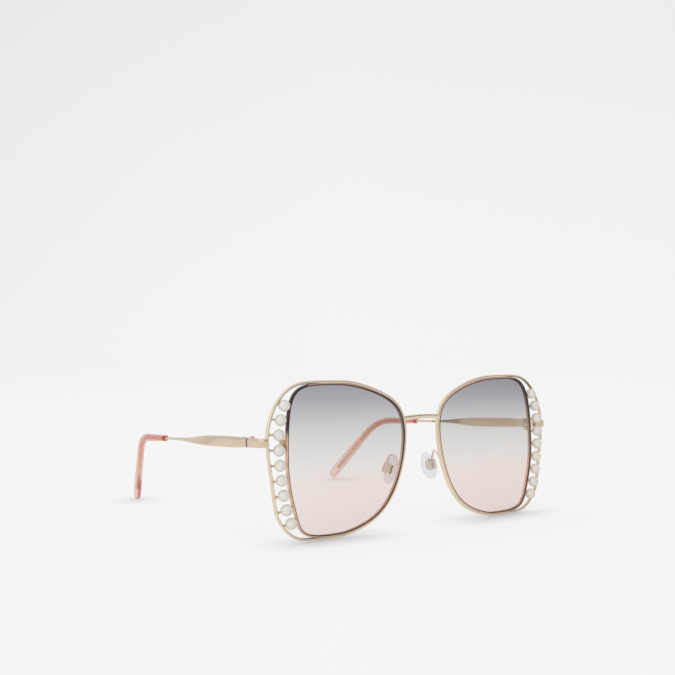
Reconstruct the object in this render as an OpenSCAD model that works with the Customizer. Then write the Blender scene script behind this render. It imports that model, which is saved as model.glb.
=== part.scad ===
// Butterfly-shaped metal sunglasses with pearl-filled side windows.
// Millimetres. +X is the wearer's left, the front faces -Y, the temples run to +Y, +Z is up.
// The rims stand on Z = 0; X = 0 and Y = 0 are the middle of the overall length and width.

/* [Rim outline] */
// Control polygon of the lens opening, anticlockwise seen from the front of the +X lens:
// [distance from the centre line, height, distance of the outer wire from the opening, its depth]
// Temple side, lower half
rim_side_low = [64.5, 23.2, 5.7, 1.5]; // [0:0.1:80]
// Temple side, upper half
rim_side_high = [64, 43.7, 10.9, 1.3]; // [0:0.1:80]
// Upper outer corner
rim_top_corner = [61.5, 58.7, 1.6, 0.6]; // [0:0.1:80]
// Top edge, outer third
rim_top_out = [47, 58.8, 1.2, 0.5]; // [0:0.1:80]
// Top edge, middle
rim_top_mid = [35, 58.7, 1.6, 0.5]; // [0:0.1:80]
// Top edge, towards the bridge
rim_top_in = [20.5, 54.7, 1.2, 0.6]; // [0:0.1:80]
// Inner upper corner, beside the bridge
rim_bridge = [8, 47.7, 1.15, 0.85]; // [0:0.1:80]
// Nose side
rim_nose = [11, 24.2, 1.15, 0.9]; // [0:0.1:80]
// Lower edge, nose side
rim_low_in = [20.5, 7.7, 1.1, 1]; // [0:0.1:80]
// Lower edge, middle
rim_low_mid = [36, 2.7, 1.1, 1]; // [0:0.1:80]
// Lower edge, outer third
rim_low_out = [41.5, 2.2, 1.15, 1]; // [0:0.1:80]
// Lower outer corner
rim_low_corner = [58.5, 2.2, 1.0, 1.1]; // [0:0.1:80]
// Temple side, just above the lower corner
rim_side_foot = [60.5, 10.7, 9.4, 1.4]; // [0:0.1:80]

/* [Front surface] */
// Middle of each lens, from the centre line
lens_mid_x = 38; // [36:0.5:40]
// Middle of each lens, height
lens_mid_z = 29.7; // [28:0.1:32]
// Wrap of each side, degrees
wrap_angle = 1.9; // [0:0.1:6]
// Backward lean of the front, degrees
lean_angle = 2; // [0:0.1:6]
// Vertical bow of the front over 30 mm, mm
front_bow = 0.68; // [0:0.02:2]

/* [Rims] */
// Width of the eyewire, seen from the front
eyewire_w = 0.95; // [0.7:0.05:1.6]
// Depth of the eyewire, front to back
eyewire_d = 1.6; // [1.4:0.05:3]
// Width of the outer wire, seen from the front
wire_w = 1.2; // [0.8:0.05:1.6]
// Depth of the outer wire
wire_d = 1.5; // [1:0.05:2]

/* [Lenses] */
// Lens thickness
lens_t = 1.15; // [0.9:0.05:2]
// Lens front face behind the eyewire's front edge
lens_back = 0.2; // [0.1:0.05:1]
// Forward crown at the middle of the lens
lens_crown = 0.9; // [0:0.1:1.2]

/* [Pearls] */
// Pearls in each window
pearl_count = 9; // [5:1:9]
// Pearl diameter
pearl_d = 4.5; // [3.5:0.1:4.6]
// Outline position of the uppermost pearl
pearl_first = 1.51; // [1.4:0.01:1.8]
// Outline position of the lowest pearl, counted past one full turn of the outline
pearl_last = 11.78; // [11.6:0.01:12.2]
// Outward shift of the uppermost pearl
pearl_out = 0.05; // [0:0.05:1]
// Pearl pin radius
pin_r = 0.4; // [0.3:0.05:0.5]
// Pearl pins sit this far behind the pearl centres
pin_back = 1.1; // [0.5:0.1:1.4]

/* [Bridge] */
// Bridge height, seen from the front
bridge_h = 1.85; // [1.4:0.05:3]
// Bridge depth, front to back
bridge_d = 1.5; // [1:0.1:2.5]
// Height of the bridge centre
bridge_z = 44.7; // [43:0.1:47]
// Upward arch of the bridge
bridge_arch = 0.45; // [0:0.05:2]

/* [Hinges] */
// Outer face of the temples at the hinge slit, from the centre line
hinge_out_x = 75.3; // [74:0.1:77]
// Hinge slit, behind the pearls
hinge_y = 12.7; // [11:0.1:15]
// Height of the hinge centre
hinge_z = 37.8; // [36:0.1:40]
// Height of end piece and temple at the slit
hinge_h = 3.6; // [3.2:0.1:4.5]
// Thickness of end piece and temple
blade_t = 1.5; // [1.2:0.1:2]
// Outside radius of the hinge knuckles
knuckle_r = 1.15; // [1:0.05:1.3]
// Hinge screw radius
hinge_screw_r = 0.6; // [0.4:0.05:0.7]
// Radial clearance between hinge screw and middle knuckle
hinge_gap = 0.04; // [0.01:0.01:0.1]

/* [Temples] */
// Temple length from slit to tip end, along the curve
temple_len = 141.2; // [135:0.1:150]
// Tallest height of the metal blade
blade_h = 4.25; // [3:0.05:6]
// Downward slope of the straight part, degrees
temple_drop = 3.37; // [0:0.05:8]
// Inward slope of the straight part, degrees
temple_toe = 3.1; // [0:0.05:6]
// Start of the ear bend, along the temple
bend_start = 88; // [80:0.5:95]
// Lift of the wearer's left temple, degrees
left_lift = 0.45; // [0:0.05:1]
// Length of the ear bend
bend_len = 23.2; // [15:0.1:30]
// Downward slope behind the ear, degrees
ear_drop = 47.8; // [35:0.1:60]
// Inward slope behind the ear, degrees
ear_toe = 21.8; // [0:0.1:25]
// Start of the ear sleeve, along the temple
tip_start = 72.2; // [65:0.1:80]
// Width of the ear sleeve's paddle end
tip_w = 5; // [3.5:0.1:6]
// Radius of the core wire in the ear sleeve
core_r = 0.7; // [0.5:0.05:0.9]

/* [Nose pads] */
// Pad length
pad_l = 12; // [11:0.5:16]
// Pad width
pad_w = 7.4; // [6:0.1:8.5]
// Pad thickness
pad_t = 2.2; // [1.6:0.1:3]
// Pad rocking axis: [distance from the centre line, depth, height]
pad_pos = [11.6, 7.4, 24.1]; // [0:0.1:40]
// Turn of the pad about the vertical, degrees
pad_turn = 10; // [0:1:30]
// Outward flare of the pad's lower end, degrees
pad_flare = 18; // [0:1:25]
// Pad screw radius
pad_screw_r = 0.4; // [0.3:0.05:0.5]

/* [Hidden] */
$fn = 32;
// Shift from the front surface to the middle of the overall depth
y_shift = -68.878;
// Drop that puts the lowest point of the rims on Z = 0
z_drop = 0.188;
// Stations round a rim, per control point
rim_step = 6;
OUT = [rim_side_low, rim_side_high, rim_top_corner, rim_top_out, rim_top_mid, rim_top_in, rim_bridge,
       rim_nose, rim_low_in, rim_low_mid, rim_low_out, rim_low_corner, rim_side_foot];
NP = len(OUT);

// --- outline: closed uniform cubic spline through the control polygon ---
function spl(P, t) = let (n = len(P), i = floor(t), u = t - i)
  (pow(1 - u, 3) * P[(i - 1 + n) % n] + (3 * u * u * u - 6 * u * u + 4) * P[i % n]
   + (-3 * u * u * u + 3 * u * u + 3 * u + 1) * P[(i + 1) % n] + u * u * u * P[(i + 2) % n]) / 6;
function unit(v) = v / norm(v);
function spl_dir(P, t) = unit(spl(P, t + 0.01) - spl(P, t - 0.01 + (t < 0.01 ? len(P) : 0)));
function flat(P) = [for (p = P) [p[0], p[1]]];
FL = flat(OUT);
// outward normal of the outline at t, in X and Z
function nrm(t) = let (d = spl_dir(FL, t + NP)) [d[1], -d[0]];
// depth of the front surface
function face_y(x, z) = let (w = (z - lens_mid_z) / 30)
  (x - lens_mid_x) * tan(wrap_angle) + (z - lens_mid_z) * tan(lean_angle) + front_bow * w * w;
// a point r outside the opening and d behind the front surface
function at(t, r, d) = let (p = spl(OUT, t + NP), n = nrm(t), x = p[0] + n[0] * r, z = p[1] + n[1] * r)
  [x, face_y(p[0], p[1]) + d, z];
function wire_off(t) = spl(OUT, t + NP)[2];
function wire_c(t) = let (p = spl(OUT, t + NP), n = nrm(t), x = p[0] + n[0] * p[2], z = p[1] + n[1] * p[2])
  [x, face_y(x, z) + p[3], z];

// --- skins: rows of points joined into one closed solid ---
function band(a, b, m) = [for (j = [0:m - 1]) each [[a + j, a + (j + 1) % m, b + j], [a + (j + 1) % m, b + (j + 1) % m, b + j]]];
// closed loop of sections
module loop(rows) {
  m = len(rows[0]); n = len(rows);
  polyhedron(points = [for (r = rows) each r],
    faces = [for (i = [0:n - 1]) each band(i * m, ((i + 1) % n) * m, m)], convexity = 8);
}
// open run of sections with fan caps
module run(rows) {
  m = len(rows[0]); n = len(rows);
  mid = function (r) [for (k = [0:2]) [for (q = r) 1] * [for (q = r) q[k]]] / m;
  polyhedron(points = concat([for (r = rows) each r], [mid(rows[0]), mid(rows[n - 1])]),
    faces = concat([for (i = [0:n - 2]) each band(i * m, (i + 1) * m, m)],
      [for (j = [0:m - 1]) [(j + 1) % m, j, n * m]],
      [for (j = [0:m - 1]) [(n - 1) * m + j, (n - 1) * m + (j + 1) % m, n * m + 1]]), convexity = 8);
}
// rounded section, half sizes a and b, exponent e, m points
function sgn(v) = v < 0 ? -1 : 1;
function sect(a, b, e, m) = [for (j = [0:m - 1]) let (q = 360 * (j + 0.5) / m)
  [a * sgn(cos(q)) * pow(abs(cos(q)), 2 / e), b * sgn(sin(q)) * pow(abs(sin(q)), 2 / e)]];
// section s placed at p across the direction d, first axis along u
function place(s, p, d, u) = let (k = unit(cross(d, u)), v = unit(cross(k, d)))
  [for (q = s) p + v * q[0] + k * q[1]];

// --- rims ---
module eyewire() {
  b = eyewire_d - 0.1; g = lens_back + lens_t / 2; v = lens_t / 2 - 0.03;
  loop([for (i = [0:NP * rim_step - 1]) let (t = i / rim_step)
    [for (q = [[0, 0.05], [0.2, -0.1], [eyewire_w - 0.25, -0.1], [eyewire_w, 0.15], [eyewire_w, b - 0.2], [eyewire_w - 0.2, b],
               [0, b], [0, g + v], [0.42, g], [0, g - v]]) at(t, q[0], q[1])]]);
}
module outer_wire() {
  s = sect(wire_w / 2, wire_d / 2, 2.6, 8);
  loop([for (i = [0:NP * rim_step - 1]) let (t = i / rim_step, c = wire_c(t), n = nrm(t))
    [for (q = s) c + [n[0] * q[0], q[1], n[1] * q[0]]]]);
}

// --- lens: rings from the front middle to the back middle ---
module lens() {
  n = NP * rim_step; e = lens_back; g = lens_back + lens_t / 2;
  c = [lens_mid_x, 0, lens_mid_z];
  ring = function (k, d) [for (i = [0:n - 1]) let (p = at(i / rim_step, -0.06, 0), q = c + (p - c) * k,
    f = lens_crown * (1 - k * k)) [q[0], face_y(q[0], q[2]) + d - f, q[2]]];
  edge = [for (i = [0:n - 1]) at(i / rim_step, 0.31, g)];
  ks = [0.35, 0.7, 1];
  rows = concat([for (k = ks) ring(k, e)], [edge], [for (j = [2:-1:0]) ring(ks[j], e + lens_t)]);
  m = len(rows);
  a = [c[0], face_y(c[0], c[2]) + e - lens_crown, c[2]];
  polyhedron(points = concat([for (r = rows) each r], [a, a + [0, lens_t, 0]]),
    faces = concat([for (i = [0:m - 2]) each band(i * n, (i + 1) * n, n)],
      [for (j = [0:n - 1]) [(j + 1) % n, j, n * m]],
      [for (j = [0:n - 1]) [(m - 1) * n + j, (m - 1) * n + (j + 1) % n, n * m + 1]]), convexity = 8);
}

// --- pearls: equally spaced along the middle of the side window ---
function slot_c(t, d) = let (r = (eyewire_w + wire_off(t) - wire_w / 2) / 2 + pearl_out * smooth((t - NP - 1.15) / 0.35)) at(t, r, d);
pearl_run = [for (i = [0:80]) slot_c(pearl_last + (pearl_first + NP - pearl_last) * i / 80, 0)];
function sums(P, i = 1, a = [0]) = i == len(P) ? a : sums(P, i + 1, concat(a, [a[i - 1] + norm(P[i] - P[i - 1])]));
pearl_sum = sums(pearl_run);
function seek(s, i = 1) = i >= len(pearl_sum) - 1 || pearl_sum[i] >= s
  ? i - 1 + (s - pearl_sum[i - 1]) / (pearl_sum[i] - pearl_sum[i - 1]) : seek(s, i + 1);
pearl_t = [for (k = [0:pearl_count - 1])
  pearl_last + (pearl_first + NP - pearl_last) * seek(pearl_sum[80] * k / (pearl_count - 1)) / 80];
// lays children along the direction v at p, from their own Z axis
module along(p, v) {
  translate(p) rotate([0, acos(v[2] / norm(v)), atan2(v[1], v[0])]) children();
}
module pearl_pin(t, r, reach) {
  a = at(t, eyewire_w - 0.25, pin_back); b = at(t, wire_off(t) - wire_w / 2 + 0.25 * reach, pin_back);
  along(a, b - a) cylinder(r = r, h = norm(b - a), $fn = 24);
}
module pearls() {
  for (t = pearl_t) difference() {
    translate(slot_c(t, 0)) sphere(d = pearl_d, $fn = 40);
    pearl_pin(t, pin_r + 0.02, 1);
  }
}
module pearl_pins() { for (t = pearl_t) pearl_pin(t, pin_r, 1); }

// --- bridge: flat bar arched between the two outer wires ---
module bridge() {
  e = wire_c(6.12); y0 = face_y(9, bridge_z) + 0.75;
  s = sect(bridge_h / 2, bridge_d / 2, 4, 12);
  run([for (i = [-10:10]) let (u = i / 10, x = (e[0] + 0.25) * u)
    [for (q = s) [x, y0 - 0.35 * (1 - u * u) + q[1], bridge_z + bridge_arch * (0.6 - u * u) + q[0]]]]);
}

// --- temple line: straight, then bent down and in behind the ear ---
function smooth(a) = let (b = min(max(a, 0), 1)) b * b * (3 - 2 * b);
toe_lead = 6.6;
function t_dir(s) = let (p = temple_drop + (ear_drop - temple_drop) * smooth((s - bend_start) / bend_len),
  w = temple_toe + (ear_toe - temple_toe) * smooth((s - bend_start + toe_lead) / (bend_len + toe_lead)))
  [-cos(p) * sin(w), cos(p) * cos(w), -sin(p)];
t_zero = [hinge_out_x - blade_t / 2, hinge_y, hinge_z];
ds = 2;
function walk(p, s, n) = n == 0 ? [p] : concat([p], walk(p + ds * t_dir(s + ds / 2), s + ds, n - 1));
line_pts = walk(t_zero, 0, 75);
function t_pos(s) = let (i = min(max(floor(s / ds), 0), 74), f = s / ds - i)
  line_pts[i] + (line_pts[i + 1] - line_pts[i]) * f;
// height of the blade along the temple: rises behind the slit, then falls to the neck
neck = 64;
function blade_hh(s) = hinge_h + (blade_h - hinge_h) * smooth(s / 14);
function twist(s) = 90 * smooth((s - 20) / (neck - 20));
module temple_arm() {
  st = concat([for (i = [0:20]) 0.08 + i * (neck - 0.08) / 20], [67, 70, tip_start + 1.2]);
  run([for (s = st) let (w = twist(s), k = smooth((s - 30) / (neck - 30)), d = t_dir(s),
      e = smooth((s - neck) / 5), hh = blade_hh(s) + (1.9 - blade_hh(s)) * k - 0.4 * e, tt = blade_t - 0.1 + (1.15 - blade_t) * k,
      up = [sin(w) * -1, 0, cos(w)])
    place(sect(hh / 2, tt / 2, 3.2, 12), t_pos(s), d, up)]);
}
core_end = temple_len - 7;
module core_wire() {
  st = [for (i = [0:22]) tip_start + 1.2 + (core_end - tip_start - 1.2) * i / 22];
  run([for (s = st) place(sect(core_r, core_r, 2, 8), t_pos(s), t_dir(s), [0, 0, 1])]);
}
// half height and half thickness of the ear sleeve
function tip_hh(s) = let (a = (s - tip_start) / (temple_len - tip_start), c = (temple_len - s) / 3)
  (1.25 + 0.35 * smooth(a * 3) + (tip_w / 2 - 1.6) * smooth((a - 0.45) / 0.45)) * (c < 1 ? sqrt(max(1 - pow(1 - c, 2), 0.03)) : 1);
function tip_tt(s) = let (a = (s - tip_start) / (temple_len - tip_start), c = (temple_len - s) / 2)
  (1.3 + 0.1 * smooth(a * 3)) * (c < 1 ? sqrt(max(1 - pow(1 - c, 2), 0.06)) : 1);
tip_up = function (s) let (k = smooth((s - bend_start) / bend_len)) [0.12 * k, 0.2 * k, 1];
// the sleeve is one skin: up the bore that holds the core wire, then back along the outside
module temple_tip() {
  bore = concat([for (i = [19:-1:0]) [tip_start + 1.5 + (core_end + 0.3 - tip_start - 1.5) * i / 19, core_r + 0.12]],
    [[tip_start + 1.35, 1], [tip_start, 1]]);
  st = concat([for (i = [0:22]) tip_start + (temple_len - 3.2 - tip_start) * i / 22],
              [for (c = [2.2, 1.3, 0.6, 0.15, 0]) temple_len - c]);
  run(concat([for (q = bore) place(sect(q[1], q[1], 2, 12), t_pos(q[0]), t_dir(q[0]), tip_up(q[0]))],
    [for (s = st) place(sect(tip_hh(s), tip_tt(s), 2.4, 12), t_pos(s), t_dir(s), tip_up(s))]));
}

// --- hinge ---
pivot = [hinge_out_x - blade_t - knuckle_r - 0.05, hinge_y, hinge_z];
knuckle_h = 1.1;
// the hinge axis is vertical; front knuckles above and below, temple knuckle between
module end_piece() {
  // front view block that leaves the outer wire and turns back to the slit
  a = wire_c(0.72);
  s = sect(hinge_h / 2, blade_t / 2, 5, 12);
  x1 = hinge_out_x - blade_t / 2 + tan(temple_toe) * (hinge_y - 4.2);
  P = [[a[0] + 0.1, a[1] - 0.1, 0.88], [a[0] + 1.1, a[1] + 0.05, 0.9], [x1 - 0.75, a[1] + 0.4, 0.92], [x1 - 0.05, a[1] + 1.3, 0.94],
       [x1, a[1] + 2.6, 0.95], [x1 - 0.2, 8, 0.97], [hinge_out_x - blade_t / 2 + 0.005, hinge_y - 0.08, 1]];
  run([for (i = [0:6]) let (d = i == 0 ? P[1] - P[0] : i == 6 ? P[6] - P[5] : unit(P[i + 1] - P[i]) + unit(P[i] - P[i - 1]),
      z = hinge_z + (hinge_y - P[i][1]) * tan(temple_drop) * 0.9)
    place([for (q = s) [q[0] * P[i][2], q[1]]], [P[i][0], P[i][1], z], i == 6 ? [0, 1, 0] : [d[0], d[1], 0], [0, 0, 1])]);
}
module knuckle(z, h, r) { translate([pivot[0], pivot[1], pivot[2] + z]) cylinder(r = r, h = h, $fn = 36); }
module front_hinge() {
  difference() {
    union() {
      for (z = [knuckle_h / 2 + 0.05, -knuckle_h * 1.5 - 0.05]) {
        knuckle(z, knuckle_h, knuckle_r);
        translate([pivot[0], pivot[1] - 2.6, pivot[2] + z]) cube([knuckle_r + 0.2, 2.5, knuckle_h]);
      }
      translate([pivot[0] + 0.35, pivot[1] - 5, pivot[2] - knuckle_h * 1.5 - 0.05]) cube([knuckle_r - 0.1, 3.7, knuckle_h * 3 + 0.1]);
    }
    knuckle(-4, 8, hinge_screw_r);
  }
}
module temple_hinge() {
  difference() {
    union() {
      knuckle(-knuckle_h / 2, knuckle_h, knuckle_r);
      translate([pivot[0], pivot[1], pivot[2] - knuckle_h / 2]) cube([knuckle_r + 0.03, 2.4, knuckle_h]);
      translate([pivot[0] + 0.35, pivot[1] + 1.45, pivot[2] - knuckle_h * 1.5 - 0.05]) cube([knuckle_r - 0.32, 4, knuckle_h * 3 + 0.1]);
    }
    knuckle(-4, 8, hinge_screw_r + hinge_gap);
  }
}
module hinge_screw() {
  knuckle(-knuckle_h * 1.5 - 0.2, knuckle_h * 3 + 0.25, hinge_screw_r);
  difference() {
    knuckle(knuckle_h * 1.5 + 0.05, 0.45, hinge_screw_r + 0.3);
    translate([pivot[0] - 2, pivot[1] - 0.13, pivot[2] + knuckle_h * 1.5 + 0.3]) cube([4, 0.26, 1]);
  }
}

// --- rim closing block: split block brazed behind the eyewire, clamped by a screw ---
lock_t = 0.7;
lock_at = at(lock_t, eyewire_w / 2, eyewire_d - 0.1);
module closing_block() {
  difference() {
    for (z = [0.12, -1.52]) translate([lock_at[0] - 0.5, lock_at[1], lock_at[2] + z]) cube([2.2, 1.9, 1.4]);
    translate([lock_at[0] + 0.6, lock_at[1] + 0.95, lock_at[2] - 3]) cylinder(r = 0.42, h = 6, $fn = 24);
  }
}
module rim_screw() {
  translate([lock_at[0] + 0.6, lock_at[1] + 0.95, lock_at[2] - 1.6]) cylinder(r = 0.4, h = 3.2, $fn = 24);
  difference() {
    translate([lock_at[0] + 0.6, lock_at[1] + 0.95, lock_at[2] + 1.54]) cylinder(r = 0.7, h = 0.45, $fn = 24);
    translate([lock_at[0] - 1, lock_at[1] + 0.83, lock_at[2] + 1.8]) cube([3, 0.24, 1]);
  }
}

// --- nose pads. Local frame: X across the pad's width, Y out from the nose, Z up the pad ---
module pad_frame() { translate(pad_pos) rotate([0, 0, -90 + pad_turn]) rotate([pad_flare, 0, 0]) mirror([1, 0, 0]) children(); }
// outline of the pad: a drop, wider below the middle
function pad_row(y, k) = [for (j = [0:23]) let (q = 15 * j) [k * (pad_w / 2) * cos(q) * (1 - 0.16 * sin(q)), y, k * (pad_l / 2) * sin(q) + 0.1]];
module pad_body() {
  b = -0.75; f = b - pad_t;
  run([pad_row(b, 0.82), pad_row(b - 0.25, 0.94), pad_row(b - 0.8, 1), pad_row(f + 0.75, 0.96), pad_row(f + 0.25, 0.8), pad_row(f, 0.45)]);
}
module nose_pad() {
  difference() {
    pad_body();
    translate([-1.52, -1.62, -1.82]) cube([3.04, 0.54, 3.64]);
    translate([-0.5, -1.3, -0.72]) cube([1, 1.5, 1.44]);
  }
}
module pad_insert() {
  difference() {
    union() {
      translate([-1.5, -1.6, -1.8]) cube([3, 0.5, 3.6]);
      translate([-0.48, -1.2, -0.7]) cube([0.96, 1.2, 1.4]);
      translate([-0.48, 0, 0]) rotate([0, 90, 0]) cylinder(r = 0.72, h = 0.96, $fn = 32);
    }
    translate([-2, 0, 0]) rotate([0, 90, 0]) cylinder(r = pad_screw_r + 0.04, h = 4, $fn = 32);
  }
}
module pad_box() {
  difference() {
    translate([-1.9, -0.35, -2]) cube([3.8, 1.65, 4]);
    translate([-0.56, -1, -3]) cube([1.12, 1.85, 6]);
    translate([-3, 0, 0]) rotate([0, 90, 0]) cylinder(r = pad_screw_r, h = 6, $fn = 32);
  }
}
module pad_screw() {
  translate([-1.95, 0, 0]) rotate([0, 90, 0]) cylinder(r = pad_screw_r, h = 3.9, $fn = 32);
}
// a point of the pad's local frame in the front's frame
function rx(p, a) = [p[0], p[1] * cos(a) - p[2] * sin(a), p[1] * sin(a) + p[2] * cos(a)];
function rz(p, a) = [p[0] * cos(a) - p[1] * sin(a), p[0] * sin(a) + p[1] * cos(a), p[2]];
function pad_at(p) = pad_pos + rz(rx([-p[0], p[1], p[2]], pad_flare), -90 + pad_turn);
module pad_arm() {
  a = at(6.96, eyewire_w * 0.5, eyewire_d - 0.35);
  e = pad_at([0, 1.25, 1.4]);
  Q = [a - [0, 2, 0], a, a + [-0.1, 1.2, 0.9], a + [-0.1, 2.8, 3], [a[0] - 0.1, a[1] + 4.7, e[2] + 4.6], e + [-0.5, -1, 3.2], e, e - [0, 0, 2]];
  n = 22;
  run([for (i = [0:n]) let (t = 1 + 4.999 * i / n, p = spl(Q, t), d = spl(Q, t + 0.01) - spl(Q, t - 0.01))
    place(sect(0.5, 0.5, 2, 8), p, d, [1, 0, 0])]);
}

// --- assembly: everything is drawn for the +X side; side -1 mirrors it ---
module side(s) { translate([0, y_shift, -z_drop]) mirror([s < 0 ? 1 : 0, 0, 0]) children(); }
module lifted() { translate(t_zero) rotate([left_lift, 0, 0]) translate(-t_zero) children(); }
gold = "wheat";
color(gold) side(1) bridge();
color("tan") side(1) eyewire();  // left_eyewire
color("tan") side(-1) eyewire();  // right_eyewire
color(gold) side(1) outer_wire();  // left_outer_wire
color(gold) side(-1) outer_wire();  // right_outer_wire
color("thistle", 0.6) side(1) lens();  // left_lens
color("thistle", 0.6) side(-1) lens();  // right_lens
color("ivory") side(1) pearls();  // left_pearls
color("ivory") side(-1) pearls();  // right_pearls
color(gold) side(1) pearl_pins();  // left_pearl_pins
color(gold) side(-1) pearl_pins();  // right_pearl_pins
color("tan") side(1) closing_block();  // left_closing_block
color("tan") side(-1) closing_block();  // right_closing_block
color("silver") side(1) rim_screw();  // left_rim_screw
color("silver") side(-1) rim_screw();  // right_rim_screw
color(gold) side(1) end_piece();  // left_end_piece
color(gold) side(-1) end_piece();  // right_end_piece
color("tan") side(1) front_hinge();  // left_front_hinge
color("tan") side(-1) front_hinge();  // right_front_hinge
color("silver") side(1) hinge_screw();  // left_hinge_screw
color("silver") side(-1) hinge_screw();  // right_hinge_screw
color(gold) side(1) pad_arm();  // left_pad_arm
color(gold) side(-1) pad_arm();  // right_pad_arm
color(gold) side(1) pad_frame() pad_box();  // left_pad_box
color(gold) side(-1) pad_frame() pad_box();  // right_pad_box
color("silver") side(1) pad_frame() pad_screw();  // left_pad_screw
color("silver") side(-1) pad_frame() pad_screw();  // right_pad_screw
color("silver") side(1) pad_frame() pad_insert();  // left_pad_insert
color("silver") side(-1) pad_frame() pad_insert();  // right_pad_insert
color("white", 0.5) side(1) pad_frame() nose_pad();  // left_nose_pad
color("white", 0.5) side(-1) pad_frame() nose_pad();  // right_nose_pad
color("tan") side(1) temple_hinge();  // left_temple_hinge
color("tan") side(-1) temple_hinge();  // right_temple_hinge
color(gold) side(1) lifted() temple_arm();  // left_temple_arm
color(gold) side(-1) temple_arm();  // right_temple_arm
color("wheat") side(1) lifted() core_wire();  // left_core_wire
color("wheat") side(-1) core_wire();  // right_core_wire
color("lightpink", 0.7) side(1) lifted() temple_tip();  // left_temple_tip
color("lightpink", 0.7) side(-1) temple_tip();  // right_temple_tip
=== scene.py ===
"""Butterfly metal sunglasses with pearl-filled side windows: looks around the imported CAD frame."""
import math

import bpy
import numpy as np
from mathutils import Matrix, Vector


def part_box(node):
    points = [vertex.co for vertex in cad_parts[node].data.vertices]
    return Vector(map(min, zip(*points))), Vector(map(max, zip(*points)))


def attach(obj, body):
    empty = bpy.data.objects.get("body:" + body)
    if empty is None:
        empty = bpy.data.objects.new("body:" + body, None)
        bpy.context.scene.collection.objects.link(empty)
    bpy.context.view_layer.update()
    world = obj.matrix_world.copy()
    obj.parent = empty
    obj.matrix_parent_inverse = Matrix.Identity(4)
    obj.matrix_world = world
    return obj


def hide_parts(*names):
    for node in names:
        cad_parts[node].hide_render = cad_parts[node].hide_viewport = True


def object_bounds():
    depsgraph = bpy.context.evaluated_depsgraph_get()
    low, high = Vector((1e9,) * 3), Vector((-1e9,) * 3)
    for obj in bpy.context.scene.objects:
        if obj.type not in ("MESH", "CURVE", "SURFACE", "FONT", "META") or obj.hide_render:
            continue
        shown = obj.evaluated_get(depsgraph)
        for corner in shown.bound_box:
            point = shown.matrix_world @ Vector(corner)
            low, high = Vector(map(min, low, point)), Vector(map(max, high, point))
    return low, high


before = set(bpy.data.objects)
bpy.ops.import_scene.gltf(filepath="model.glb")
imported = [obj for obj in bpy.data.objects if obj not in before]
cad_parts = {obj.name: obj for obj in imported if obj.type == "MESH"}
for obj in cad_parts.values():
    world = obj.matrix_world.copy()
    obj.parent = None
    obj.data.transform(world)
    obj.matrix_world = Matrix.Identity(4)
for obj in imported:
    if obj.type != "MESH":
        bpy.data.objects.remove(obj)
CAD_BOX = [list(map(float, v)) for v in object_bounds()]
MM = 0.001

# ------------------------------------------------------------------ outline maths (mm, before placing)
OUT = np.array([[64.5, 23.2, 5.7, 1.5], [64, 43.7, 10.9, 1.3], [61.5, 58.7, 1.6, 0.6], [47, 58.8, 1.2, 0.5], [35, 58.7, 1.6, 0.5],
                [20.5, 54.7, 1.2, 0.6], [8, 47.7, 1.15, 0.85], [11, 24.2, 1.15, 0.9], [20.5, 7.7, 1.1, 1], [36, 2.7, 1.1, 1],
                [41.5, 2.2, 1.15, 1], [58.5, 2.2, 1.0, 1.1], [60.5, 10.7, 9.4, 1.4]], float)
NP = len(OUT)
MID_X, MID_Z = 38.0, 29.7
WRAP, LEAN, BOW = math.tan(math.radians(1.9)), math.tan(math.radians(2.0)), 0.68
EYE_W, EYE_D, WIRE_W, WIRE_D = 0.95, 1.6, 1.2, 1.5
LENS_T, LENS_BACK, CROWN = 1.15, 0.2, 0.9


def spl(P, t):
    t = np.asarray(t, float)
    n = len(P)
    i = np.floor(t).astype(int)
    u = (t - i)[..., None]
    return ((1 - u) ** 3 * P[(i - 1) % n] + (3 * u ** 3 - 6 * u ** 2 + 4) * P[i % n]
            + (-3 * u ** 3 + 3 * u ** 2 + 3 * u + 1) * P[(i + 1) % n] + u ** 3 * P[(i + 2) % n]) / 6


def unit(v):
    v = np.asarray(v, float)
    return v / np.linalg.norm(v, axis=-1, keepdims=True)


def nrm(t):
    d = unit(spl(OUT[:, :2], np.asarray(t) + 0.01 + NP) - spl(OUT[:, :2], np.asarray(t) - 0.01 + NP))
    return np.stack([d[..., 1], -d[..., 0]], -1)


def face_y(x, z):
    w = (z - MID_Z) / 30
    return (x - MID_X) * WRAP + (z - MID_Z) * LEAN + BOW * w * w


def at(t, r, d):
    p, n = spl(OUT, np.asarray(t, float) + NP), nrm(t)
    return np.stack([p[..., 0] + n[..., 0] * r, face_y(p[..., 0], p[..., 1]) + d, p[..., 1] + n[..., 1] * r], -1)


def wire_c(t):
    p, n = spl(OUT, np.asarray(t, float) + NP), nrm(t)
    x, z = p[..., 0] + n[..., 0] * p[..., 2], p[..., 1] + n[..., 1] * p[..., 2]
    return np.stack([x, face_y(x, z) + p[..., 3], z], -1)


def sect(a, b, e, m):
    q = 2 * math.pi * (np.arange(m) + 0.5) / m
    c, s = np.cos(q), np.sin(q)
    return np.stack([a * np.sign(c) * np.abs(c) ** (2 / e), b * np.sign(s) * np.abs(s) ** (2 / e)], -1)


def place(s, p, d, u):
    d = np.asarray(d, float)
    k = unit(np.cross(d, u))
    v = unit(np.cross(k, d))
    return np.asarray(p)[None, :] + s[:, :1] * v[None, :] + s[:, 1:2] * k[None, :]


def smooth(a):
    b = np.clip(a, 0, 1)
    return b * b * (3 - 2 * b)


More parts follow.
